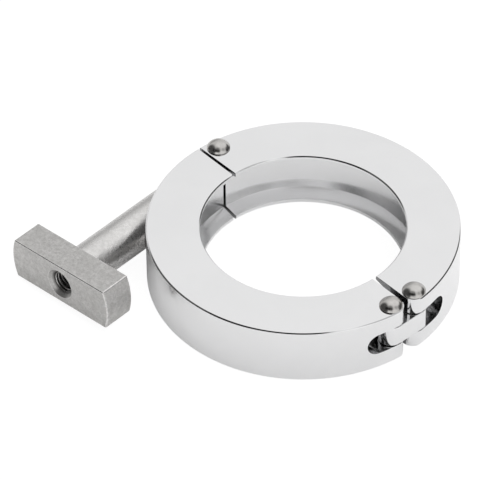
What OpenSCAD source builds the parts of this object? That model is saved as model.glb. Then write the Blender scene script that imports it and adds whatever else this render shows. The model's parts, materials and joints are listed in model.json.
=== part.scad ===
// Hinged flange clamp with a swing bolt and a T-nut, for a 55 mm vacuum flange.
// Origin on the ring's axis at mid-height; the ring is split along X, hinge at +X, bolt at -X.

/* [Ring] */
// Outer diameter of the ring
ring_d = 74; // [70:0.5:84]
// Height of the ring
ring_h = 14.8; // [13:0.1:20]
// Diameter of the opening between the lips
bore_d = 48.4; // [44:0.1:50]
// Chamfer along the ring's edges
edge_chamfer = 0.3; // [0.1:0.05:0.6]
// Saw gap between the halves at the bolt
bolt_gap = 0.6; // [0.4:0.1:1.2]

/* [Groove] */
// Diameter of the groove's wall, just over the flange rim
groove_d = 55.6; // [54:0.1:56.4]
// Height of each lip where it meets the groove's wall
lip_root_h = 2.1; // [1.8:0.05:2.4]
// Slope of the groove's flanks, from the ring's plane
flank_angle = 15; // [10:0.5:18]

/* [Hinge] */
// Depth of every pin's axis inside the ring's outer face
pin_inset = 3.1; // [3:0.05:3.5]
// Distance of every pin from the split plane
pin_y = 3.6; // [3.4:0.05:3.9]
// Diameter of the pins' shanks
pin_d = 3; // [2.5:0.1:3.4]
// Diameter of the pins' domed heads
pin_head_d = 5.6; // [5:0.1:5.8]
// Height of the pins' domed heads
pin_head_h = 1.9; // [1.2:0.1:2.2]
// Depth of the pins' lower ends inside the ring's lower face
pin_recess = 0.1; // [0.05:0.05:0.5]
// Gap between the halves at the hinge
hinge_gap = 1.3; // [1.2:0.05:1.6]
// Radius of the link's round ends
link_end_r = 3; // [2.6:0.05:3.2]
// Height of the slots for the link
slot_h = 5.9; // [5.5:0.1:7]
// Length of a slot in each half, from the split plane
slot_reach = 11.9; // [10:0.1:14]

/* [Swing bolt] */
// Lean of the closed bolt towards the ring's axis
bolt_lean = 5; // [3:0.5:6]
// Height of the slots for the bolt
bolt_slot_h = 6.6; // [6.3:0.1:7.5]
// Diameter of the bolt's threaded shank, at its pitch line
bolt_d = 5.35; // [5:0.05:5.5]
// Radius of the bolt's eye
eye_r = 3.2; // [2.6:0.05:3.3]
// Distance from the bolt's pin to its end
bolt_reach = 44; // [38:0.5:50]

/* [T-nut] */
// Diameter of the nut's sleeve
sleeve_d = 10; // [9:0.1:10.2]
// Length of the nut, from the sleeve's inner end to the crossbar's outer face
nut_l = 36.7; // [34:0.1:42]
// Thickness of the crossbar along the bolt
bar_t = 8.1; // [6:0.1:10]
// Height of the crossbar between its flats
bar_h = 10.8; // [10.6:0.1:12]
// Diameter of the round ends of the crossbar
bar_d = 31.1; // [24:0.1:36]
// Rounding of the crossbar's edges
bar_edge_r = 0.3; // [0.2:0.1:0.8]
// Diameter of the countersink at the mouth of the thread
mouth_d = 7.8; // [6.5:0.1:8.5]
// Angle of the crossbar to the ring's plane, as left by hand
bar_angle = 3; // [0:1:90]
// Whole turns by which the nut is backed off its seat
turns_off = 7; // [1:1:8]
// Pitch of the thread
pitch = 1; // [0.75:0.05:1]

/* [Washer] */
// Outer diameter of the thrust washer
washer_d = 9.4; // [8.6:0.1:9.8]
// Thickness of the thrust washer
washer_t = 0.8; // [0.5:0.1:1]

/* [Seat] */
// Distance from the bolt's pin to the seat in the front half
seat_reach = 9.7; // [9.5:0.1:14]

/* [Fits] */
// Radial clearance of a pin that is fixed in its hole
fixed_fit = 0.02; // [0.01:0.01:0.05]
// Radial clearance of a pin or thread that turns in its hole
running_fit = 0.05; // [0.02:0.01:0.1]
// Gap on each side of the link and the bolt in their slots
slot_fit = 0.25; // [0.1:0.05:0.4]
// Gap behind the link and the bolt's eye
floor_fit = 0.3; // [0.2:0.05:0.6]
// Gap around the sleeve in its pocket
pocket_fit = 0.25; // [0.1:0.05:0.5]
// Gap left between the washer and its seat when the nut is done up
seat_fit = 0.05; // [0.02:0.01:0.1]

/* [Hidden] */
$fn = 64;

ring_r = ring_d / 2;
half_h = ring_h / 2;
bore_r = bore_d / 2;
groove_r = groove_d / 2;
pin_x = ring_r - pin_inset;
// Radius of the corners that pass each other as the hinge opens
corner_r = pin_y - hinge_gap / 2;
lip_edge_h = lip_root_h - (groove_r - bore_r) * tan(flank_angle);
link_h = slot_h - 2 * slot_fit;
eye_h = bolt_slot_h - 2 * slot_fit;
slot_floor = pin_x - link_end_r - floor_fit;
bolt_floor = bolt_d / 2 + 3 * slot_fit;
eye_floor = pin_x - eye_r - floor_fit;
pocket_d = sleeve_d + 2 * pocket_fit;
washer_start = seat_reach + seat_fit + turns_off * pitch;
sleeve_start = washer_start + washer_t;
thread_bore = bolt_d + 2 * running_fit;
beyond = 2 * ring_r;
// How far a cut runs past the face it opens
past = ring_h / 10;

aluminium = [0.90, 0.90, 0.91];
stainless = [0.62, 0.61, 0.60];
cast_steel = [0.66, 0.65, 0.63];

// Places its children at the bolt's pin, with X along the closed bolt and Y towards the ring's axis.
module along_bolt() {
    translate([-pin_x, pin_y, 0])
        rotate([0, 0, bolt_lean - 90])
            children();
}

// The ring's section: the points above mid-height, then the same mirrored below it.
module ring_section() {
    c = edge_chamfer;
    upper = [
        [ring_r, half_h - c],
        [ring_r - c, half_h],
        [bore_r + c, half_h],
        [bore_r, half_h - c],
        [bore_r, half_h - lip_edge_h],
        [groove_r, half_h - lip_root_h]
    ];
    lower = [for (i = [len(upper) - 1:-1:0]) [upper[i].x, -upper[i].y]];
    polygon(concat(upper, lower));
}

module ring_body() {
    rotate_extrude($fn = 180)
        ring_section();
}

// A slot milled from outside, from the split plane to its round end.
module slot_cut(floor_x, height) {
    translate([floor_x, 0, 0])
        rotate([0, 90, 0]) {
            translate([0, slot_reach - height / 2, 0])
                cylinder(d = height, h = beyond);
            translate([-height / 2, -beyond, 0])
                cube([height, beyond + slot_reach - height / 2, beyond]);
        }
}

// Removes the outer corner beside the hinge, round the pin.
module corner_cut() {
    difference() {
        translate([pin_x, -beyond, -half_h - past])
            cube([beyond, beyond + pin_y, ring_h + 2 * past]);
        translate([pin_x, pin_y, -half_h - 2 * past])
            cylinder(r = corner_r, h = ring_h + 4 * past);
    }
}

module pin_hole(d) {
    translate([0, 0, -half_h - past])
        cylinder(d = d, h = ring_h + 2 * past, $fn = 48);
}

// What both halves have in common, drawn for the side with +Y.
module half_ring() {
    difference() {
        ring_body();
        translate([0, bolt_gap / 2 - beyond, -half_h - past])
            mirror([1, 0, 0])
                cube([beyond, beyond, ring_h + 2 * past]);
        translate([0, hinge_gap / 2 - beyond, -half_h - past])
            cube([beyond, beyond, ring_h + 2 * past]);
        corner_cut();
        slot_cut(slot_floor, slot_h);
        translate([pin_x, pin_y, 0])
            pin_hole(pin_d + 2 * fixed_fit);
    }
}

// The half that carries the swing bolt.
module rear_half() {
    color(aluminium)
        difference() {
            half_ring();
            mirror([1, 0, 0])
                slot_cut(eye_floor, bolt_slot_h);
            translate([-pin_x, pin_y, 0])
                pin_hole(pin_d + 2 * fixed_fit);
        }
}

// The half that the nut pulls shut: its slot lets the bolt in from outside,
// and the pocket ends in the flat seat of the washer.
module front_half() {
    color(aluminium)
        difference() {
            mirror([0, 1, 0])
                half_ring();
            along_bolt() {
                translate([0, bolt_floor - beyond, -bolt_slot_h / 2])
                    cube([beyond, beyond, bolt_slot_h]);
                translate([seat_reach, 0, 0]) {
                    rotate([0, 90, 0])
                        cylinder(d = pocket_d, h = beyond);
                    translate([0, -beyond, -pocket_d / 2])
                        cube([beyond, beyond, pocket_d]);
                }
            }
        }
}

// A bar with round ends about its two pins.
module hinge_link() {
    color(aluminium)
        difference() {
            translate([pin_x, 0, -link_h / 2]) {
                for (side = [-1, 1])
                    translate([0, side * pin_y, 0])
                        cylinder(r = link_end_r, h = link_h);
                translate([-link_end_r, -pin_y, 0])
                    cube([2 * link_end_r, 2 * pin_y, link_h]);
            }
            for (side = [-1, 1])
                translate([pin_x, side * pin_y, 0])
                    pin_hole(pin_d + 2 * running_fit);
        }
}

// A headed pin from the ring's upper face to just inside its lower face.
module dome_pin() {
    dome_r = (pow(pin_head_d / 2, 2) + pow(pin_head_h, 2)) / (2 * pin_head_h);
    color(stainless) {
        translate([0, 0, -half_h + pin_recess])
            cylinder(d = pin_d, h = ring_h - pin_recess + pin_head_h / 2, $fn = 48);
        intersection() {
            translate([0, 0, half_h + pin_head_h - dome_r])
                sphere(r = dome_r);
            translate([0, 0, half_h])
                cylinder(d = 2 * pin_head_d, h = 2 * pin_head_h);
        }
    }
}

module rear_link_pin() {
    translate([pin_x, pin_y, 0])
        dome_pin();
}

module front_link_pin() {
    translate([pin_x, -pin_y, 0])
        dome_pin();
}

module bolt_pin() {
    translate([-pin_x, pin_y, 0])
        dome_pin();
}

// An eye turned about the pin, and a straight shank.
module swing_bolt() {
    color(stainless)
        difference() {
            union() {
                translate([-pin_x, pin_y, -eye_h / 2])
                    cylinder(r = eye_r, h = eye_h);
                along_bolt()
                    rotate([0, 90, 0])
                        cylinder(d = bolt_d, h = bolt_reach);
            }
            translate([-pin_x, pin_y, 0])
                pin_hole(pin_d + 2 * running_fit);
        }
}

module thrust_washer() {
    color(stainless)
        along_bolt()
            translate([washer_start, 0, 0])
                rotate([0, 90, 0])
                    difference() {
                        cylinder(d = washer_d, h = washer_t);
                        translate([0, 0, -past])
                            cylinder(d = thread_bore, h = washer_t + 2 * past);
                    }
}

// A disc with rounded rims, cut to a bar by two flats with rounded edges.
module crossbar() {
    r = bar_edge_r;
    intersection() {
        rotate_extrude($fn = 128) {
            square([bar_d / 2 - r, bar_t]);
            translate([0, r])
                square([bar_d / 2, bar_t - 2 * r]);
            for (z = [r, bar_t - r])
                translate([bar_d / 2 - r, z])
                    circle(r, $fn = 32);
        }
        rotate([90, 0, 0])
            linear_extrude(bar_d, center = true) {
                for (x = [r - bar_h / 2, bar_h / 2 - r])
                    for (z = [r, bar_t - r])
                        translate([x, z])
                            circle(r, $fn = 32);
                translate([r - bar_h / 2, 0])
                    square([bar_h - 2 * r, bar_t]);
                translate([-bar_h / 2, r])
                    square([bar_h, bar_t - 2 * r]);
            }
    }
}

// Sleeve and crossbar in one piece, threaded right through.
module t_nut() {
    sleeve_l = nut_l - bar_t / 2;
    mouth_depth = (mouth_d - thread_bore) / 2;
    color(cast_steel)
        along_bolt()
            translate([sleeve_start, 0, 0])
                rotate([bar_angle, 0, 0])
                    rotate([0, 90, 0])
                        difference() {
                            union() {
                                cylinder(d1 = sleeve_d - 2 * bar_edge_r, d2 = sleeve_d, h = bar_edge_r);
                                translate([0, 0, bar_edge_r])
                                    cylinder(d = sleeve_d, h = sleeve_l - bar_edge_r);
                                translate([0, 0, nut_l - bar_t])
                                    crossbar();
                            }
                            translate([0, 0, -past])
                                cylinder(d = thread_bore, h = nut_l + 2 * past);
                            translate([0, 0, nut_l - mouth_depth])
                                cylinder(d1 = thread_bore, d2 = mouth_d + 2 * past, h = mouth_depth + past);
                        }
}

rear_half();
front_half();
hinge_link();
rear_link_pin();
front_link_pin();
bolt_pin();
swing_bolt();
thrust_washer();
t_nut();
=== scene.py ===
import bpy
import json
import math
from mathutils import Matrix, Vector


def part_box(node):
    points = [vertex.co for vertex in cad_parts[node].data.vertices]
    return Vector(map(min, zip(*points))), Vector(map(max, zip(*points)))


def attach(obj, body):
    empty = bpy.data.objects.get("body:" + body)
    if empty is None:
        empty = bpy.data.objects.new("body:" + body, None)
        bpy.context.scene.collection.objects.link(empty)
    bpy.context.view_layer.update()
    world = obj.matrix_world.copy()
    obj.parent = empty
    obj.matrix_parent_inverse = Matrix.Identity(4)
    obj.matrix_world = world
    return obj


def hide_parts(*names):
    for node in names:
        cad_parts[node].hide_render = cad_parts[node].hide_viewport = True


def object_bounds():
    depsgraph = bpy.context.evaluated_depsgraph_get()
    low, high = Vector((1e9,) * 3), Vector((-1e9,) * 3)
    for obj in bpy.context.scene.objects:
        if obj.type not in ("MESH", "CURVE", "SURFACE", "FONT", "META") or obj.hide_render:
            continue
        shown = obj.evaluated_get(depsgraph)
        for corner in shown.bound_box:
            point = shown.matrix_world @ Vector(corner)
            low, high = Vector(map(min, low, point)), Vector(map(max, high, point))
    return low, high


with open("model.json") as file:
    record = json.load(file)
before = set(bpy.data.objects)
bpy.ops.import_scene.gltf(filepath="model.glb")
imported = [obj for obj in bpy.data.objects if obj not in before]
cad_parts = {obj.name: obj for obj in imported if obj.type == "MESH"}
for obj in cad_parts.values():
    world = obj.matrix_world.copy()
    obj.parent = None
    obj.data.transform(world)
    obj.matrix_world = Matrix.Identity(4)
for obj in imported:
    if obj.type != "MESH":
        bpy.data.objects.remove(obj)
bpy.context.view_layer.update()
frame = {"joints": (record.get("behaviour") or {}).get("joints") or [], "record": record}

mergeWithin = 1e-6  # closer vertices become one
past = 0.003  # how far a cutting tool runs past what it cuts
fineSides = 96  # of a round that shows
roundedFrom = math.radians(30)  # sharper edges are rounded
smoothUpTo = math.radians(38)  # sharper edges stay crisp in the shading
joints = {j["name"]: j for j in frame["joints"]}
mounts = {m["name"]: m for m in frame["record"]["mounts"]}


# selecting and running tools

def useOnly(obj):
    if bpy.context.object and bpy.context.object.mode != "OBJECT":
        bpy.ops.object.mode_set(mode="OBJECT")
    bpy.ops.object.select_all(action="DESELECT")
    obj.select_set(True)
    bpy.context.view_layer.objects.active = obj


def bake(obj):
    useOnly(obj)
    bpy.ops.object.transform_apply(location=True, rotation=True, scale=True)


def editAll(obj):
    useOnly(obj)
    bpy.ops.object.mode_set(mode="EDIT")
    bpy.ops.mesh.select_mode(type="VERT")
    bpy.ops.mesh.select_all(action="SELECT")


def editVertices(obj, test):
    # only the vertices whose place passes the test
    useOnly(obj)
    for part in (obj.data.vertices, obj.data.edges, obj.data.polygons):
        part.foreach_set("select", [False] * len(part))
    for vertex in obj.data.vertices:
        vertex.select = test(vertex.co)
    bpy.ops.object.mode_set(mode="EDIT")
    bpy.ops.mesh.select_mode(type="VERT")


def leaveEdit():
    bpy.ops.object.mode_set(mode="OBJECT")


def applyAll(obj):
    useOnly(obj)
    for modifier in list(obj.modifiers):
        bpy.ops.object.modifier_apply(modifier=modifier.name)


def combine(obj, tool, operation="DIFFERENCE"):
    boolean = obj.modifiers.new("combine", "BOOLEAN")
    boolean.object = tool
    boolean.operation = operation
    boolean.solver = "EXACT"
    applyAll(obj)
    bpy.data.objects.remove(tool)


def box(low, high):
    low, high = Vector(low), Vector(high)
    bpy.ops.mesh.primitive_cube_add(size=1, location=(low + high) / 2, scale=high - low)
    bake(bpy.context.object)
    return bpy.context.object


def slab(xs, ys, half):
    # a block between two values of x and two of y, in any order
    return box((min(xs), min(ys), -half), (max(xs), max(ys), half))


def rod(start, end, radius, sides=64, endRadius=None):
    # a cylinder, or a cone when its end has a radius of its own
    start, end = Vector(start), Vector(end)
    middle, depth = (start + end) / 2, (end - start).length
    turn = (end - start).to_track_quat("Z", "Y").to_euler()
    if endRadius is None:
        bpy.ops.mesh.primitive_cylinder_add(vertices=sides, radius=radius, depth=depth, location=middle, rotation=turn)
    else:
        bpy.ops.mesh.primitive_cone_add(vertices=sides, radius1=radius, radius2=endRadius, depth=depth,
                                        location=middle, rotation=turn)
    bake(bpy.context.object)
    return bpy.context.object


def uprightRod(place, half, radius, sides=48):
    return rod(place - up * half, place + up * half, radius, sides)


def drawOutline(points, closed=True):
    # one vertex, extruded from point to point
    points = [Vector(p) for p in points]
    bpy.ops.mesh.primitive_plane_add(size=0.001, location=points[0])
    obj = bpy.context.object
    bake(obj)
    editAll(obj)
    bpy.ops.mesh.merge(type="CENTER")
    for here, there in zip(points, points[1:]):
        bpy.ops.mesh.extrude_vertices_move(TRANSFORM_OT_translate={"value": there - here})
    bpy.ops.mesh.select_all(action="SELECT")
    if closed:
        bpy.ops.mesh.edge_face_add()
        bpy.ops.mesh.delete(type="ONLY_FACE")
    leaveEdit()
    return obj


def spin(obj, steps, angle):
    editAll(obj)
    bpy.ops.mesh.spin(steps=steps, angle=angle, center=(0, 0, 0), axis=(0, 0, 1))
    bpy.ops.mesh.select_all(action="SELECT")
    bpy.ops.mesh.remove_doubles(threshold=mergeWithin)
    bpy.ops.mesh.normals_make_consistent(inside=False)
    leaveEdit()


def bisect(obj, point, normal):
    # keeps the side that the normal points to
    editAll(obj)
    bpy.ops.mesh.bisect(plane_co=point, plane_no=normal, clear_inner=True, use_fill=True)
    leaveEdit()


def breakEdges(obj, size, rounds=2):
    # thresholds go with the size, so that the booleans' slivers close up first
    editAll(obj)
    bpy.ops.mesh.remove_doubles(threshold=size / 4)
    bpy.ops.mesh.dissolve_limited(angle_limit=math.radians(0.1))
    bpy.ops.mesh.select_all(action="DESELECT")
    bpy.ops.mesh.select_mode(type="EDGE")
    bpy.ops.mesh.edges_select_sharp(sharpness=roundedFrom)
    bpy.ops.mesh.bevel(offset=size, segments=rounds, profile=0.5, affect="EDGES", clamp_overlap=False)
    bpy.ops.mesh.select_mode(type="VERT")
    bpy.ops.mesh.select_all(action="SELECT")
    bpy.ops.mesh.remove_doubles(threshold=size / 20)
    bpy.ops.mesh.normals_make_consistent(inside=False)
    leaveEdit()


def weld(obj):
    # slivers that the booleans leave along the thread close up
    editAll(obj)
    bpy.ops.mesh.remove_doubles(threshold=mergeWithin)
    leaveEdit()


def pressFlat(obj, height):
    # bevel corners that stand past the two end faces go back to them
    for side in (1, -1):
        editVertices(obj, lambda place: side * place.z > height)
        bpy.ops.transform.resize(value=(1, 1, 0), center_override=(0, 0, side * height))
        leaveEdit()


def smooth(obj):
    useOnly(obj)
    bpy.ops.object.shade_smooth_by_angle(angle=smoothUpTo)
    weighted = obj.modifiers.new("flat faces stay flat", "WEIGHTED_NORMAL")
    weighted.keep_sharp = True
    applyAll(obj)


def done(obj, name, body, node, material):
    obj.name = name
    obj.data.name = name
    obj.data.materials.clear()
    obj.data.materials.append(material)
    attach(obj, body)
    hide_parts(node)
    print("made", name, len(obj.data.polygons), "faces")


# places that the pieces share

rearPin = Vector(joints["link_swing"]["pos_m"])
frontPin = Vector(joints["front_swing"]["pos_m"])
boltPin = Vector(joints["bolt_swing"]["pos_m"])
alongBolt = Vector(joints["nut_turn"]["axis"]).normalized()
acrossBolt = Vector((-alongBolt.y, alongBolt.x, 0))
up = Vector((0, 0, 1))
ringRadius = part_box("rear_half")[1].y
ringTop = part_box("rear_half")[1].z
boreRadius = mounts["flange_bore"]["dims"]["r_mm"] / 1000
# columns: along the bolt, towards the ring's axis, up
boltFrame = Matrix((alongBolt, acrossBolt, up)).transposed().to_4x4()
boltFrame.translation = boltPin


def toBolt(obj):
    # a piece drawn along Z from the origin goes onto the bolt's line
    obj.matrix_world = boltFrame @ Matrix.Rotation(math.radians(90), 4, "Y")
    bake(obj)


def boltBox(low, high):
    obj = box(low, high)
    obj.matrix_world = boltFrame
    bake(obj)
    return obj


# materials

def addNode(tree, kind, values=None, **settings):
    node = tree.nodes.new(kind)
    for label, value in settings.items():
        setattr(node, label, value)
    for label, value in (values or {}).items():
        node.inputs[label].default_value = value
    return node


def newGroup(name, inputs, outputs):
    group = bpy.data.node_groups.new(name, "ShaderNodeTree")
    for label, kind, value in inputs:
        socket = group.interface.new_socket(name=label, in_out="INPUT", socket_type=kind)
        if value is not None:
            socket.default_value = value
    for label in outputs:
        group.interface.new_socket(name=label, in_out="OUTPUT", socket_type="NodeSocketFloat")
    return group, group.nodes.new("NodeGroupInput"), group.nodes.new("NodeGroupOutput")


surfacePlace = ("Vector", "NodeSocketVector", None)


def turnedGrainGroup():
    # fine rings left by a lathe: fast across the radius and the height, slow along the arc
    group, given, result = newGroup("turnedGrain", [surfacePlace, ("Fineness", "NodeSocketFloat", 5000.0)], ["Grain"])
    split = addNode(group, "ShaderNodeSeparateXYZ")
    flat = addNode(group, "ShaderNodeVectorMath", operation="MULTIPLY")
    flat.inputs[1].default_value = (1, 1, 0)
    radius = addNode(group, "ShaderNodeVectorMath", operation="LENGTH")
    arc = addNode(group, "ShaderNodeMath", operation="ARCTAN2")
    slow = addNode(group, "ShaderNodeMath", {1: 0.0006}, operation="MULTIPLY")
    join = addNode(group, "ShaderNodeCombineXYZ")
    noise = addNode(group, "ShaderNodeTexNoise", {"Detail": 3.0, "Roughness": 0.6})
    group.links.new(given.outputs["Vector"], split.inputs[0])
    group.links.new(given.outputs["Vector"], flat.inputs[0])
    group.links.new(flat.outputs["Vector"], radius.inputs[0])
    group.links.new(split.outputs["Y"], arc.inputs[0])
    group.links.new(split.outputs["X"], arc.inputs[1])
    group.links.new(arc.outputs[0], slow.inputs[0])
    group.links.new(radius.outputs["Value"], join.inputs["X"])
    group.links.new(slow.outputs[0], join.inputs["Y"])
    group.links.new(split.outputs["Z"], join.inputs["Z"])
    group.links.new(join.outputs[0], noise.inputs["Vector"])
    group.links.new(given.outputs["Fineness"], noise.inputs["Scale"])
    group.links.new(noise.outputs["Fac"], result.inputs["Grain"])
    return group


def patchesGroup():
    # broad, soft differences between one place and the next
    group, given, result = newGroup("patches", [surfacePlace, ("Fineness", "NodeSocketFloat", 60.0)], ["Patches"])
    noise = addNode(group, "ShaderNodeTexNoise", {"Detail": 4.0, "Roughness": 0.55, "Distortion": 0.4})
    spread = addNode(group, "ShaderNodeMapRange", {"From Min": 0.32, "From Max": 0.68}, interpolation_type="SMOOTHSTEP")
    group.links.new(given.outputs["Vector"], noise.inputs["Vector"])
    group.links.new(given.outputs["Fineness"], noise.inputs["Scale"])
    group.links.new(noise.outputs["Fac"], spread.inputs["Value"])
    group.links.new(spread.outputs["Result"], result.inputs["Patches"])
    return group


def scratchesGroup():
    # sparse hairlines in two directions
    group, given, result = newGroup("hairScratches", [surfacePlace, ("Amount", "NodeSocketFloat", 0.5)], ["Scratches"])
    found = []
    for turn, stretch in (((0.2, 0.1, 0.6), (90, 2600, 900)), ((0.1, 0.3, -0.9), (120, 3100, 1100))):
        place = addNode(group, "ShaderNodeMapping", {"Rotation": turn, "Scale": stretch})
        noise = addNode(group, "ShaderNodeTexNoise", {"Scale": 1.0, "Detail": 1.0})
        thin = addNode(group, "ShaderNodeMapRange", {"From Min": 0.68, "From Max": 0.74})
        group.links.new(given.outputs["Vector"], place.inputs["Vector"])
        group.links.new(place.outputs["Vector"], noise.inputs["Vector"])
        group.links.new(noise.outputs["Fac"], thin.inputs["Value"])
        found.append(thin.outputs["Result"])
    both = addNode(group, "ShaderNodeMath", operation="MAXIMUM")
    scaled = addNode(group, "ShaderNodeMath", operation="MULTIPLY")
    group.links.new(found[0], both.inputs[0])
    group.links.new(found[1], both.inputs[1])
    group.links.new(both.outputs[0], scaled.inputs[0])
    group.links.new(given.outputs["Amount"], scaled.inputs[1])
    group.links.new(scaled.outputs[0], result.inputs["Scratches"])
    return group


def edgeWearGroup():
    # 1 on a rounded edge, 0 on a flat face, broken up a little
    group, given, result = newGroup("edgeWear", [surfacePlace, ("Width", "NodeSocketFloat", 0.0003)], ["Edges"])
    bevel = addNode(group, "ShaderNodeBevel", samples=6)
    real = addNode(group, "ShaderNodeNewGeometry")
    alike = addNode(group, "ShaderNodeVectorMath", operation="DOT_PRODUCT")
    bent = addNode(group, "ShaderNodeMapRange", {"From Min": 0.995, "From Max": 0.93})
    noise = addNode(group, "ShaderNodeTexNoise", {"Scale": 700.0, "Detail": 2.0})
    broken = addNode(group, "ShaderNodeMapRange", {"From Min": 0.3, "From Max": 0.6, "To Min": 0.35})
    mask = addNode(group, "ShaderNodeMath", operation="MULTIPLY")
    group.links.new(given.outputs["Width"], bevel.inputs["Radius"])
    group.links.new(bevel.outputs["Normal"], alike.inputs[0])
    group.links.new(real.outputs["Normal"], alike.inputs[1])
    group.links.new(alike.outputs["Value"], bent.inputs["Value"])
    group.links.new(given.outputs["Vector"], noise.inputs["Vector"])
    group.links.new(noise.outputs["Fac"], broken.inputs["Value"])
    group.links.new(bent.outputs["Result"], mask.inputs[0])
    group.links.new(broken.outputs["Result"], mask.inputs[1])
    group.links.new(mask.outputs[0], result.inputs["Edges"])
    return group


def cutFacesGroup():
    # the milled slots and the sawn ends, which nobody polishes, and the groove's wall; the ends' dark tone is painted
    # shade between the halves, and the slots' darker tone is partly the milled finish and partly painted shade
    group, given, result = newGroup("cutFaces", [surfacePlace, ("Normal", "NodeSocketVector", None)],
                                    ["Slots", "ShadedEnds", "Groove"])

    def maths(operation, *values):
        node = addNode(group, "ShaderNodeMath", operation=operation)
        for i, value in enumerate(values):
            if isinstance(value, (int, float)):
                node.inputs[i].default_value = value
            else:
                group.links.new(value, node.inputs[i])
        return node.outputs[0]

    place = addNode(group, "ShaderNodeSeparateXYZ")
    facing = addNode(group, "ShaderNodeSeparateXYZ")
    flat = addNode(group, "ShaderNodeVectorMath", operation="MULTIPLY")
    flat.inputs[1].default_value = (1, 1, 0)
    length = addNode(group, "ShaderNodeVectorMath", operation="LENGTH")
    group.links.new(given.outputs["Vector"], place.inputs[0])
    group.links.new(given.outputs["Normal"], facing.inputs[0])
    group.links.new(given.outputs["Vector"], flat.inputs[0])
    group.links.new(flat.outputs["Vector"], length.inputs[0])
    radius, height = length.outputs["Value"], maths("ABSOLUTE", place.outputs["Z"])
    inside = maths("MULTIPLY", maths("GREATER_THAN", radius, cut["inner"]), maths("LESS_THAN", radius, cut["outer"]))
    # the slots are taller on the bolt's side
    boltSide = maths("LESS_THAN", place.outputs["X"], 0.0)
    tallest = maths("ADD", cut["linkHalf"], maths("MULTIPLY", boltSide, cut["boltHalf"] - cut["linkHalf"]))
    square = maths("GREATER_THAN", maths("ABSOLUTE", facing.outputs["Y"]), cut["square"])
    nearSplit = maths("LESS_THAN", maths("ABSOLUTE", place.outputs["Y"]), cut["saw"])
    within = maths("LESS_THAN", radius, cut["inner"])
    group.links.new(maths("MULTIPLY", inside, maths("LESS_THAN", height, tallest)), result.inputs["Slots"])
    group.links.new(maths("MULTIPLY", square, nearSplit), result.inputs["ShadedEnds"])
    group.links.new(maths("MULTIPLY", within, maths("LESS_THAN", height, cut["grooveHalf"])), result.inputs["Groove"])
    return group


# where the cut faces lie, and how they look: the ends' dark tone is painted shade, and the slots' tone is partly
# painted shade
cut = {"inner": 0.0285, "outer": 0.03686, "linkHalf": 0.00305, "boltHalf": 0.0054, "saw": 0.00075,
       "grooveHalf": 0.0068, "grooveGloss": 0.1, "gloss": 0.17, "square": 0.97,
       "slotToneAndShade": (0.66, 0.66, 0.665), "endShade": (0.3, 0.3, 0.305)}
turnedGrain, patches = turnedGrainGroup(), patchesGroup()
hairScratches, edgeWear, cutFaces = scratchesGroup(), edgeWearGroup(), cutFacesGroup()


def newFinish(name, metallic=1.0):
    material = bpy.data.materials.new(name)
    material.use_nodes = True
    tree = material.node_tree
    shader = tree.nodes["Principled BSDF"]
    shader.inputs["Metallic"].default_value = metallic
    return material, tree, shader, addNode(tree, "ShaderNodeTexCoord").outputs["Object"]


def maskFrom(tree, place, group, label, **values):
    node = addNode(tree, "ShaderNodeGroup", node_tree=group)
    for key, value in values.items():
        node.inputs[key].default_value = value
    tree.links.new(place, node.inputs["Vector"])
    return node.outputs[label]


def valueBetween(tree, mask, low, high, start=0.0, stop=1.0):
    # low where the mask is at start, high where it is at stop
    node = addNode(tree, "ShaderNodeMapRange", {"From Min": start, "From Max": stop, "To Min": low, "To Max": high})
    tree.links.new(mask, node.inputs["Value"])
    return node.outputs["Result"]


def addUp(tree, *values):
    total = values[0]
    for value in values[1:]:
        node = addNode(tree, "ShaderNodeMath", operation="ADD")
        tree.links.new(total, node.inputs[0])
        tree.links.new(value, node.inputs[1])
        total = node.outputs[0]
    return total


def colourBetween(tree, mask, low, high):
    # either colour may be a socket
    node = addNode(tree, "ShaderNodeMix", data_type="RGBA")
    tree.links.new(mask, node.inputs["Factor"])
    for socket, colour in ((node.inputs["A"], low), (node.inputs["B"], high)):
        if isinstance(colour, tuple):
            socket.default_value = (*colour, 1)
        else:
            tree.links.new(colour, socket)
    return node.outputs["Result"]


def bumpFrom(tree, height, distance, normal=None):
    node = addNode(tree, "ShaderNodeBump", {"Strength": 1.0, "Distance": distance})
    tree.links.new(height, node.inputs["Height"])
    if normal:
        tree.links.new(normal, node.inputs["Normal"])
    return node.outputs["Normal"]


def stretched(tree, place, scale, detail=3.0):
    # grain of its own fineness along each axis
    mapping = addNode(tree, "ShaderNodeMapping", {"Scale": scale})
    noise = addNode(tree, "ShaderNodeTexNoise", {"Scale": 1.0, "Detail": detail, "Roughness": 0.6})
    tree.links.new(place, mapping.inputs["Vector"])
    tree.links.new(mapping.outputs["Vector"], noise.inputs["Vector"])
    return noise.outputs["Fac"]


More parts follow.
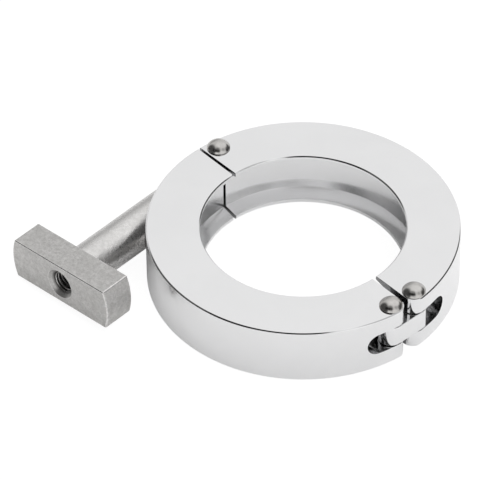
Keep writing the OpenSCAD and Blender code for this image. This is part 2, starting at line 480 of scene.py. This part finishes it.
def polishedAluminium(name, look, drawn=None):
    # drawn: grain along the bar in place of a lathe's rings
    material, tree, shader, place = newFinish(name)
    if drawn:
        grain = stretched(tree, place, drawn)
    else:
        grain = maskFrom(tree, place, turnedGrain, "Grain", Fineness=look["grain"])
    soft = maskFrom(tree, place, patches, "Patches", Fineness=look["patches"])
    hairs = maskFrom(tree, place, hairScratches, "Scratches", Amount=look["scratches"])
    edges = maskFrom(tree, place, edgeWear, "Edges", Width=look["edgeWidth"])
    tone = colourBetween(tree, soft, look["bright"], look["dull"])
    tone = colourBetween(tree, edges, tone, look["edge"])
    gloss = addUp(tree, valueBetween(tree, grain, *look["gloss"]), valueBetween(tree, soft, 0, look["patchGloss"]),
                  valueBetween(tree, hairs, 0, look["hairGloss"]), valueBetween(tree, edges, 0, look["edgeGloss"]))
    if not drawn:
        slots = maskFrom(tree, place, cutFaces, "Slots")
        ends = slots.node.outputs["ShadedEnds"]
        tree.links.new(place.node.outputs["Normal"], slots.node.inputs["Normal"])
        # the sawn ends are darkened with painted shade, and the slots partly with painted shade
        tone = colourBetween(tree, ends, colourBetween(tree, slots, tone, cut["slotToneAndShade"]), cut["endShade"])
        for rough in (slots, ends):
            gloss = addUp(tree, gloss, valueBetween(tree, rough, 0, cut["gloss"] - look["gloss"][1]))
        gloss = addUp(tree, gloss, valueBetween(tree, slots.node.outputs["Groove"], 0, cut["grooveGloss"]))
    tree.links.new(tone, shader.inputs["Base Color"])
    tree.links.new(gloss, shader.inputs["Roughness"])
    rings = bumpFrom(tree, grain, look["depth"])
    tree.links.new(bumpFrom(tree, hairs, -look["depth"], rings), shader.inputs["Normal"])
    return material


def stainless(name, look):
    # plain bright stainless with a fine grain and slightly duller patches
    material, tree, shader, place = newFinish(name)
    fine = stretched(tree, place, (look["grain"],) * 3)
    soft = maskFrom(tree, place, patches, "Patches", Fineness=look["patches"])
    edges = maskFrom(tree, place, edgeWear, "Edges", Width=look["edgeWidth"])
    tone = colourBetween(tree, soft, look["bright"], look["dull"])
    tree.links.new(colourBetween(tree, edges, tone, look["edge"]), shader.inputs["Base Color"])
    gloss = addUp(tree, valueBetween(tree, fine, *look["gloss"]), valueBetween(tree, soft, 0, look["patchGloss"]))
    tree.links.new(gloss, shader.inputs["Roughness"])
    tree.links.new(bumpFrom(tree, fine, look["depth"]), shader.inputs["Normal"])
    return material


def castStainless(name, look):
    # cast, then tumbled: a fine mottle over a slightly uneven skin, with edges rubbed bright and lightened further by a
    # painted highlight
    material, tree, shader, place = newFinish(name)
    fine = stretched(tree, place, (look["grain"],) * 3, 4.0)
    middle = stretched(tree, place, (look["grain"] / 3,) * 3, 3.0)
    soft = maskFrom(tree, place, patches, "Patches", Fineness=look["patches"])
    hairs = maskFrom(tree, place, hairScratches, "Scratches", Amount=look["scratches"])
    edges = maskFrom(tree, place, edgeWear, "Edges", Width=look["edgeWidth"])
    mottle = valueBetween(tree, addUp(tree, fine, middle), 0, 1, *look["mottle"])
    tone = colourBetween(tree, mottle, look["dull"], look["bright"])
    shade = colourBetween(tree, valueBetween(tree, soft, 0, look["stained"]), tone, look["stain"])
    # painted shade and cutting oil darken the thread inside; its crests stay clear of both
    fromPin = addNode(tree, "ShaderNodeVectorMath", {1: boltPin}, operation="SUBTRACT")
    across = addNode(tree, "ShaderNodeVectorMath", {1: alongBolt}, operation="CROSS_PRODUCT")
    fromAxis = addNode(tree, "ShaderNodeVectorMath", operation="LENGTH")
    tree.links.new(place, fromPin.inputs[0])
    tree.links.new(fromPin.outputs["Vector"], across.inputs[0])
    tree.links.new(across.outputs["Vector"], fromAxis.inputs[0])
    oilAndShade = valueBetween(tree, fromAxis.outputs["Value"], 1, 0, *look["oilAndShadeFrom"])
    clean = valueBetween(tree, fromAxis.outputs["Value"], 1, 0, *look["cleanFrom"])
    shade = colourBetween(tree, clean, colourBetween(tree, oilAndShade, shade, look["oilAndShade"]), look["crest"])
    tree.links.new(colourBetween(tree, edges, shade, look["edge"]), shader.inputs["Base Color"])
    gloss = addUp(tree, valueBetween(tree, mottle, *look["gloss"]), valueBetween(tree, soft, 0, look["patchGloss"]),
                  valueBetween(tree, hairs, 0, look["hairGloss"]), valueBetween(tree, edges, 0, look["edgeGloss"]))
    tree.links.new(gloss, shader.inputs["Roughness"])
    skin = bumpFrom(tree, middle, look["undulation"])
    tree.links.new(bumpFrom(tree, fine, look["depth"], skin), shader.inputs["Normal"])
    return material


# grain and patches are counts per metre; gloss is the roughness from the grain's low to its high,
# and patchGloss, hairGloss and edgeGloss are what patches, hairlines and edges add to it
turnedLook = {"grain": 5200.0, "patches": 70.0, "scratches": 0.5, "edgeWidth": 0.0002, "depth": 0.0000012,
              "gloss": (0.03, 0.075), "patchGloss": 0.025, "hairGloss": 0.1, "edgeGloss": 0.02,
              "bright": (0.905, 0.905, 0.91), "dull": (0.885, 0.885, 0.89), "edge": (0.92, 0.92, 0.925)}
drawnLook = dict(turnedLook, patches=160.0, gloss=(0.09, 0.14), across=5200.0, lengthwise=160.0)
pinLook = {"grain": 4200.0, "patches": 420.0, "edgeWidth": 0.00015, "depth": 0.000006,
           "gloss": (0.16, 0.22), "patchGloss": 0.04,
           "bright": (0.63, 0.615, 0.595), "dull": (0.55, 0.535, 0.52), "edge": (0.64, 0.62, 0.6)}
boltLook = dict(pinLook, patches=250.0, gloss=(0.18, 0.28))
castLook = {"grain": 3300.0, "patches": 330.0, "scratches": 0.6, "edgeWidth": 0.00035,
            "depth": 0.00003, "undulation": 0.00006, "mottle": (0.78, 1.22), "stained": 0.5,
            "gloss": (0.46, 0.36), "patchGloss": 0.05, "hairGloss": -0.05, "edgeGloss": -0.14,
            "bright": (0.69, 0.68, 0.67), "dull": (0.49, 0.48, 0.47), "stain": (0.54, 0.535, 0.52),
            # the edge tone is rubbed wear, lightened further as a painted highlight
            "edge": (0.93, 0.92, 0.91),
            # distances from the thread's axis over which the oil with its painted shade and the clean crests fade out
            "oilAndShadeFrom": (0.0028, 0.0033), "oilAndShade": (0.07, 0.068, 0.065),
            "cleanFrom": (0.00248, 0.00262), "crest": (0.6, 0.59, 0.58)}
# the sleeve: the same cast finish, smoother, and lighter as a painted highlight
litSleeveLook = dict(castLook, bright=(0.8, 0.79, 0.78), dull=(0.64, 0.63, 0.62), stain=(0.66, 0.65, 0.64),
                  gloss=(0.3, 0.22))
# the bar's rounded edges: rubbed bright, and lighter still as a painted highlight
rubbedHighlightLook = dict(castLook, bright=(0.86, 0.85, 0.84), dull=(0.6, 0.59, 0.58), stain=(0.62, 0.61, 0.6),
                  gloss=(0.26, 0.16), depth=0.00001)
alongBar = (drawnLook["across"], drawnLook["lengthwise"], drawnLook["across"])
turnedFinish = polishedAluminium("turnedAluminium", turnedLook)
drawnFinish = polishedAluminium("drawnAluminium", drawnLook, drawn=alongBar)
pinFinish = stainless("rivetStainless", pinLook)
boltFinish = stainless("turnedStainless", boltLook)
castFinish = castStainless("castStainless", castLook)
litSleeveFinish = castStainless("tumbledSleeveLit", litSleeveLook)
rubbedHighlightFinish = castStainless("rubbedEdgesHighlight", rubbedHighlightLook)
print("materials")


# the two halves of the ring

ring = {"grooveRadius": 0.0278, "lipEdge": 0.006265, "lipRoot": 0.0053, "chamfer": 0.0003, "steps": 360,
        "saw": 0.00035, "hingeSaw": 0.00065, "corner": 0.00295, "hole": 0.00152, "edges": 0.00004,
        "slotReach": 0.0119, "linkSlot": 0.00295, "linkFloor": 0.0306, "eyeFloor": 0.0304,
        "boltSlot": 0.0033, "boltFloor": 0.003425, "seat": 0.0097, "pocket": 0.00525, "wayOut": 0.04}


def slotTool(side, x, floor, half):
    # a bar that runs out past the rim, with a round end away from the split
    reach = ring["slotReach"] - half
    far = ringRadius + past
    tool = slab((x * floor, x * far), (-side * past, side * reach), half)
    combine(tool, rod((x * floor, side * reach, 0), (x * far, side * reach, 0), half, fineSides), "UNION")
    return tool


def halfRing(side):
    c, r, z = ring["chamfer"], ringRadius, ringTop
    inner, groove = boreRadius, ring["grooveRadius"]
    section = [(r, z - c), (r - c, z), (inner + c, z), (inner, z - c),
               (inner, ring["lipEdge"]), (groove, ring["lipRoot"])]
    section += [(x, -y) for x, y in reversed(section)]
    obj = drawOutline([(x, 0, y) for x, y in section])
    spin(obj, ring["steps"], -side * math.pi)
    bisect(obj, (0, side * ring["saw"], 0), (0, side, 0))
    # a wider gap at the hinge, and a corner rounded about the pin
    pin = rearPin if side > 0 else frontPin
    high = z + past
    combine(obj, slab((inner - past, r + past), (-side * past, side * ring["hingeSaw"]), high))
    corner = slab((pin.x, r + past), (-side * past, pin.y), high)
    combine(corner, uprightRod(pin, high + past, ring["corner"], fineSides))
    combine(obj, corner)
    combine(obj, slotTool(side, 1, ring["linkFloor"], ring["linkSlot"]))
    combine(obj, uprightRod(pin, high, ring["hole"]))
    return obj


rear = halfRing(1)
combine(rear, slotTool(1, -1, ring["eyeFloor"], ring["boltSlot"]))
combine(rear, uprightRod(boltPin, ringTop + past, ring["hole"]))
breakEdges(rear, ring["edges"])
pressFlat(rear, ringTop)
smooth(rear)
done(rear, "rearHalf", "rear", "rear_half", turnedFinish)

front = halfRing(-1)
wayOut = ring["wayOut"]
combine(front, boltBox((-past, -wayOut, -ring["boltSlot"]), (wayOut, ring["boltFloor"], ring["boltSlot"])))
pocket = boltBox((ring["seat"], -wayOut, -ring["pocket"]), (wayOut, 0, ring["pocket"]))
ends = [boltFrame @ Vector((x, 0, 0)) for x in (ring["seat"], wayOut)]
combine(pocket, rod(ends[0], ends[1], ring["pocket"], fineSides), "UNION")
combine(front, pocket)
breakEdges(front, ring["edges"])
pressFlat(front, ringTop)
smooth(front)
done(front, "frontHalf", "front", "front_half", turnedFinish)


# the link

link = {"radius": 0.003, "half": 0.0027, "hole": 0.00155, "edges": 0.0002}
bar = uprightRod(rearPin, link["half"], link["radius"], fineSides)
second = uprightRod(frontPin, link["half"], link["radius"], fineSides)
useOnly(bar)
second.select_set(True)
bpy.ops.object.join()
editAll(bar)
bpy.ops.mesh.convex_hull()
leaveEdit()
for pin in (rearPin, frontPin):
    combine(bar, uprightRod(pin, link["half"] + past, link["hole"]))
breakEdges(bar, link["edges"], 3)
smooth(bar)
done(bar, "hingeLink", "link", "hinge_link", drawnFinish)


# the three domed pins

pinShape = {"shank": 0.0015, "head": 0.0028, "dome": 0.0019, "land": 0.00028, "round": 0.00014, "under": 0.00006,
            "relief": 0.0003, "end": 0.0001, "tip": 0.0002, "arc": 20, "bend": 4, "steps": 64}


def domedPin(place, name, body, node):
    top, low = ringTop, -ringTop + pinShape["end"]
    head, dome, shank, tip = (pinShape[part] for part in ("head", "dome", "shank", "tip"))
    # a cap over a short upright land, rounded where they meet and lifted a hair off the ring
    land, soft, under = pinShape["land"], pinShape["round"], pinShape["under"]
    rise = dome - land
    radius = (head ** 2 + rise ** 2) / (2 * rise)
    widest = math.asin((head - soft) / (radius - soft))
    middle = Vector((head - soft, top + dome - radius + (radius - soft) * math.cos(widest)))
    outline = [(0, top + dome)]
    for i in range(1, pinShape["arc"] + 1):
        a = widest * i / pinShape["arc"]
        outline.append((radius * math.sin(a), top + dome - radius + radius * math.cos(a)))
    for i in range(1, pinShape["bend"] + 1):
        a = widest + (math.pi / 2 - widest) * i / pinShape["bend"]
        outline.append((middle.x + soft * math.sin(a), middle.y + soft * math.cos(a)))
    inset = head - pinShape["relief"]
    outline += [(head, top + under * 2), (head - under, top + under), (inset, top + under), (inset, top)]
    outline += [(shank, top), (shank, low + tip), (shank - tip, low), (0, low)]
    obj = drawOutline([(x, 0, y) for x, y in outline], closed=False)
    spin(obj, pinShape["steps"], 2 * math.pi)
    obj.location = (place.x, place.y, 0)
    bake(obj)
    smooth(obj)
    done(obj, name, body, node, pinFinish)


domedPin(rearPin, "rearLinkPin", "rear", "rear_link_pin")
domedPin(frontPin, "frontLinkPin", "front", "front_link_pin")
domedPin(boltPin, "boltPin", "rear", "bolt_pin")


# the swing bolt and its thread

# heights in the outline are shares of the pitch: end of the root, start and end of the crest
thread = {"pitch": 0.001, "crest": 0.00295, "root": 0.0024, "outline": (0.25, 0.5625, 0.6875),
          "sides": 48, "phase": 0.137, "overlap": 0.0004}
boltShape = {"eye": 0.0032, "half": 0.00305, "hole": 0.00155, "edges": 0.0003, "neck": 0.00267, "neckStart": 0.001,
             "plain": 0.0078, "reach": 0.044, "tip": 0.0008, "tipWide": 0.0031, "tipNarrow": 0.0015,
             # not the thread's own count, so that no two edges fall together
             "neckSides": 40, "tipSides": 60, "eyeSides": 64}


def threadedRod(start, end, grow=0.0):
    # one pitch of the outline, screwed past both ends, closed, then cut to length
    p, crest, root = thread["pitch"], thread["crest"] + grow, thread["root"] + grow
    rootEnd, crestStart, crestEnd = (share * p for share in thread["outline"])
    outline = [(root, 0), (root, rootEnd), (crest, crestStart), (crest, crestEnd), (root, p)]
    first = math.floor(start / p) - 2 + thread["phase"]
    turns = math.ceil(end / p - first) + 2
    obj = drawOutline([(x, 0, first * p + y) for x, y in outline], closed=False)
    screw = obj.modifiers.new("screw", "SCREW")
    screw.screw_offset = p
    screw.iterations = turns
    screw.steps = thread["sides"]
    screw.render_steps = thread["sides"]
    screw.use_merge_vertices = True
    screw.merge_threshold = mergeWithin
    applyAll(obj)
    editAll(obj)
    bpy.ops.mesh.remove_doubles(threshold=mergeWithin)
    bpy.ops.mesh.select_all(action="DESELECT")
    bpy.ops.mesh.select_mode(type="EDGE")
    # each open end is drawn together to a point
    bpy.ops.mesh.select_non_manifold(use_multi_face=False, use_non_contiguous=False, use_verts=False)
    bpy.ops.mesh.extrude_edges_move(TRANSFORM_OT_translate={"value": (0, 0, 0)})
    bpy.ops.mesh.merge(type="COLLAPSE")
    bpy.ops.mesh.select_mode(type="VERT")
    bpy.ops.mesh.select_all(action="SELECT")
    bpy.ops.mesh.normals_make_consistent(inside=False)
    leaveEdit()
    combine(obj, rod((0, 0, start), (0, 0, end), crest + p, thread["sides"]), "INTERSECT")
    return obj


bolt = rod((0, 0, boltShape["neckStart"]), (0, 0, boltShape["plain"]), boltShape["neck"],
           boltShape["neckSides"])
toBolt(bolt)
eye = uprightRod(boltPin, boltShape["half"], boltShape["eye"], boltShape["eyeSides"])
breakEdges(eye, boltShape["edges"], 3)
combine(bolt, eye, "UNION")
combine(bolt, uprightRod(boltPin, boltShape["half"] + past, boltShape["hole"]))
reach, tip = boltShape["reach"], boltShape["tip"]
shank = threadedRod(boltShape["plain"] - thread["overlap"], reach)
# the shank's end is turned down by a cone in a shell
wide, narrow, sides = (boltShape[k] for k in ("tipWide", "tipNarrow", "tipSides"))
cone = rod((0, 0, reach - tip), (0, 0, reach + tip), wide, sides, narrow)
shell = rod((0, 0, reach - tip), (0, 0, reach + past), wide + past, sides)
combine(shell, cone)
combine(shank, shell)
toBolt(shank)
combine(bolt, shank, "UNION")
weld(bolt)
smooth(bolt)
done(bolt, "swingBolt", "bolt", "swing_bolt", boltFinish)


# the washer

washer = {"radius": 0.0047, "hole": 0.0031, "low": 0.01675, "high": 0.01755, "edges": 0.00012}
ends = [boltFrame @ Vector((washer[k], 0, 0)) for k in ("low", "high")]
disc = rod(ends[0], ends[1], washer["radius"], fineSides)
combine(disc, rod(ends[0] - alongBolt * past, ends[1] + alongBolt * past, washer["hole"], 64))
breakEdges(disc, washer["edges"])
smooth(disc)
done(disc, "thrustWasher", "washer", "thrust_washer", boltFinish)


# the T-nut

nut = {"start": 0.01755, "length": 0.0367, "sleeve": 0.005, "barDepth": 0.0081, "barRadius": 0.01555,
       "barHalf": 0.0054, "barSides": 192, "edges": 0.0003, "mouth": 0.0039, "mouthDepth": 0.0015,
       "turn": 3, "grow": 0.00006, "upright": 0.01, "rubbedHighlit": 0.998}
end = nut["start"] + nut["length"]
tee = rod((0, 0, end - nut["barDepth"]), (0, 0, end), nut["barRadius"], nut["barSides"])
for side in (1, -1):
    bisect(tee, (side * nut["barHalf"], 0, 0), (-side, 0, 0))
breakEdges(tee, nut["edges"], 4)
combine(tee, rod((0, 0, nut["start"]), (0, 0, end - nut["barDepth"] / 2), nut["sleeve"], fineSides), "UNION")
tee.rotation_euler = (0, 0, math.radians(nut["turn"]))
bake(tee)
combine(tee, threadedRod(nut["start"] - thread["overlap"], end + thread["overlap"], nut["grow"]))
mouth, deep = nut["mouth"], nut["mouthDepth"]
combine(tee, rod((0, 0, end - deep), (0, 0, end + deep), mouth - deep, fineSides, mouth + deep))
toBolt(tee)
weld(tee)
smooth(tee)
done(tee, "teeNut", "nut", "t_nut", castFinish)
tee.data.materials.append(litSleeveFinish)
tee.data.materials.append(rubbedHighlightFinish)
# the sleeve gets a lighter copy of the finish as a painted highlight, and the bar's rounded edges a rubbed finish with
# a painted highlight, but not the thread inside
upright = [face for face in tee.data.polygons if abs(face.normal.dot(alongBolt)) < nut["upright"]]
flat = max(upright, key=lambda face: face.area).normal.copy()
barStart = end - nut["barDepth"] - nut["edges"] / 3
for face in tee.data.polygons:
    along = (face.center - boltPin).dot(alongBolt)
    outward = face.center - boltPin - alongBolt * along
    if outward.length <= nut["sleeve"] * 0.9:
        continue
    # 1 on the bar's faces, sides and round ends, less where an edge is rounded
    square = max(abs(face.normal.dot(way)) for way in (alongBolt, flat, outward.normalized()))
    # the sleeve takes the lighter copy, a painted highlight
    if along < barStart:
        face.material_index = 1
    # rounded edges take the rubbed finish with its painted highlight
    elif square < nut["rubbedHighlit"]:
        face.material_index = 2


# floor, lamps, world and camera

view = {"elevation": 42.6674, "azimuth": 47.4, "distance": 1.082708, "focal": 344.561,
        "pitch": 0.0995, "yaw": 0.7879, "roll": -0.1714, "sensor": 36, "clipStart": 0.05}
studio = {"floorSize": 6, "floorDrop": 0.00005, "floorTone": 0.94, "floorRoughness": 0.8, "floorGlow": 0.85,
          "glossGlow": 0.04, "glow": 1.1, "tent": 0.83,
          # azimuth to the right of the camera, elevation, inner and outer reach in degrees, level
          "areas": {"overhead": (140, 72, 16, 40, 1.0), "dimBack": (-158, 8, 12, 32, 0.5),
                    "darkLeft": (-78, 16, 36, 56, 0.08), "darkFront": (-16, 54, 14, 30, 0.25),
                    "greyRight": (62, 43, 8, 18, 0.5), "darkRight": (98, 13, 16, 28, 0.06),
                    "darkRear": (122, 9, 10, 18, 0.08), "keyLamp": (128, 52, 16, 34, 1.0),
                    "lowLamp": (36, 19, 14, 24, 0.97), "lowFront": (-16, 18, 8, 20, 0.98)},
          # a narrow dark strip on the camera's side, as overlapping spots: places, reach and level
          "strip": ((-57, 40), (-44, 43), (-32, 45), (-20, 47), (-8, 47), (4, 47)), "stripLook": (9, 13, 0.01),
          # a soft lamp for the floor alone: azimuth, elevation, distance, size, power
          "floorLamp": (35, 60, 1.2, 0.9, 5.6)}


def towards(azimuth, elevation):
    # a direction by its angle to the right of the camera and above the floor
    a, e = math.radians(azimuth + view["azimuth"]), math.radians(elevation)
    return Vector((math.sin(a) * math.cos(e), -math.cos(a) * math.cos(e), math.sin(e)))


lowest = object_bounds()[0][2]
bpy.ops.mesh.primitive_plane_add(size=studio["floorSize"], location=(0, 0, lowest - studio["floorDrop"]))
floor = bpy.context.object
floor.name = "floor"
floorFinish, tree, shader = newFinish("whiteFloor", 0.0)[:3]
shader.inputs["Base Color"].default_value = (studio["floorTone"],) * 3 + (1,)
shader.inputs["Roughness"].default_value = studio["floorRoughness"]
shader.inputs["Specular IOR Level"].default_value = 0.0
# white for the camera, and a little of that white in what the metal mirrors
path = addNode(tree, "ShaderNodeLightPath")
glow = addNode(tree, "ShaderNodeEmission", {"Strength": studio["glow"]})
forCamera = addNode(tree, "ShaderNodeMath", {1: studio["floorGlow"]}, operation="MULTIPLY")
forGloss = addNode(tree, "ShaderNodeMath", {1: studio["glossGlow"]}, operation="MULTIPLY")
either = addNode(tree, "ShaderNodeMath", operation="MAXIMUM")
through = addNode(tree, "ShaderNodeMath", operation="MAXIMUM")
mix = addNode(tree, "ShaderNodeMixShader")
tree.links.new(path.outputs["Is Camera Ray"], forCamera.inputs[0])
tree.links.new(path.outputs["Is Glossy Ray"], through.inputs[0])
tree.links.new(path.outputs["Is Transmission Ray"], through.inputs[1])
tree.links.new(through.outputs[0], forGloss.inputs[0])
tree.links.new(forCamera.outputs[0], either.inputs[0])
tree.links.new(forGloss.outputs[0], either.inputs[1])
tree.links.new(either.outputs[0], mix.inputs["Fac"])
tree.links.new(shader.outputs[0], mix.inputs[1])
tree.links.new(glow.outputs[0], mix.inputs[2])
tree.links.new(mix.outputs[0], tree.nodes["Material Output"].inputs["Surface"])
floor.data.materials.append(floorFinish)

# a bright tent with soft areas laid over it, one after the other
world = bpy.data.worlds.new("studio")
bpy.context.scene.world = world
world.use_nodes = True
tree = world.node_tree
around = addNode(tree, "ShaderNodeTexCoord")
path = addNode(tree, "ShaderNodeLightPath")
tone = (studio["tent"],) * 3
areas = list(studio["areas"].values()) + [spot + studio["stripLook"] for spot in studio["strip"]]
for azimuth, elevation, inner, outer, level in areas:
    facing = addNode(tree, "ShaderNodeVectorMath", {1: towards(azimuth, elevation)}, operation="DOT_PRODUCT")
    edge, full = math.cos(math.radians(outer)), math.cos(math.radians(inner))
    area = addNode(tree, "ShaderNodeMapRange", {"From Min": edge, "From Max": full}, interpolation_type="SMOOTHSTEP")
    tree.links.new(around.outputs["Generated"], facing.inputs[0])
    tree.links.new(facing.outputs["Value"], area.inputs["Value"])
    tone = colourBetween(tree, area.outputs["Result"], tone, (level,) * 3)
seen = colourBetween(tree, path.outputs["Is Camera Ray"], tone, (1.0, 1.0, 1.0))
tree.links.new(seen, tree.nodes["Background"].inputs["Color"])

azimuth, elevation, distance, width, power = studio["floorLamp"]
lamp = bpy.data.objects.new("floorLamp", bpy.data.lights.new("floorLamp", "AREA"))
bpy.context.scene.collection.objects.link(lamp)
lamp.data.size, lamp.data.energy = width, power
aim = towards(azimuth, elevation)
lamp.matrix_world = Matrix.Translation(aim * distance) @ aim.to_track_quat("Z", "Y").to_matrix().to_4x4()
lamp.visible_camera = False
lamp.visible_glossy = False

camera = bpy.data.objects.new("camera", bpy.data.cameras.new("camera"))
bpy.context.scene.collection.objects.link(camera)
camera.data.sensor_width = view["sensor"]
camera.data.lens = view["focal"]
camera.data.clip_start = view["clipStart"]
tilt = Matrix.Rotation(math.radians(90 - view["elevation"]), 4, "X")
turnTo = Matrix.Rotation(math.radians(view["azimuth"]), 4, "Z") @ tilt
nudge = Matrix.Rotation(math.radians(view["yaw"]), 4, "Y") @ Matrix.Rotation(math.radians(view["pitch"]), 4, "X")
nudge = nudge @ Matrix.Rotation(math.radians(-view["roll"]), 4, "Z")
camera.matrix_world = Matrix.Translation(turnTo @ Vector((0, 0, view["distance"]))) @ turnTo @ nudge
bpy.context.scene.camera = camera
bpy.context.scene.view_settings.view_transform = "Standard"
print("stage")
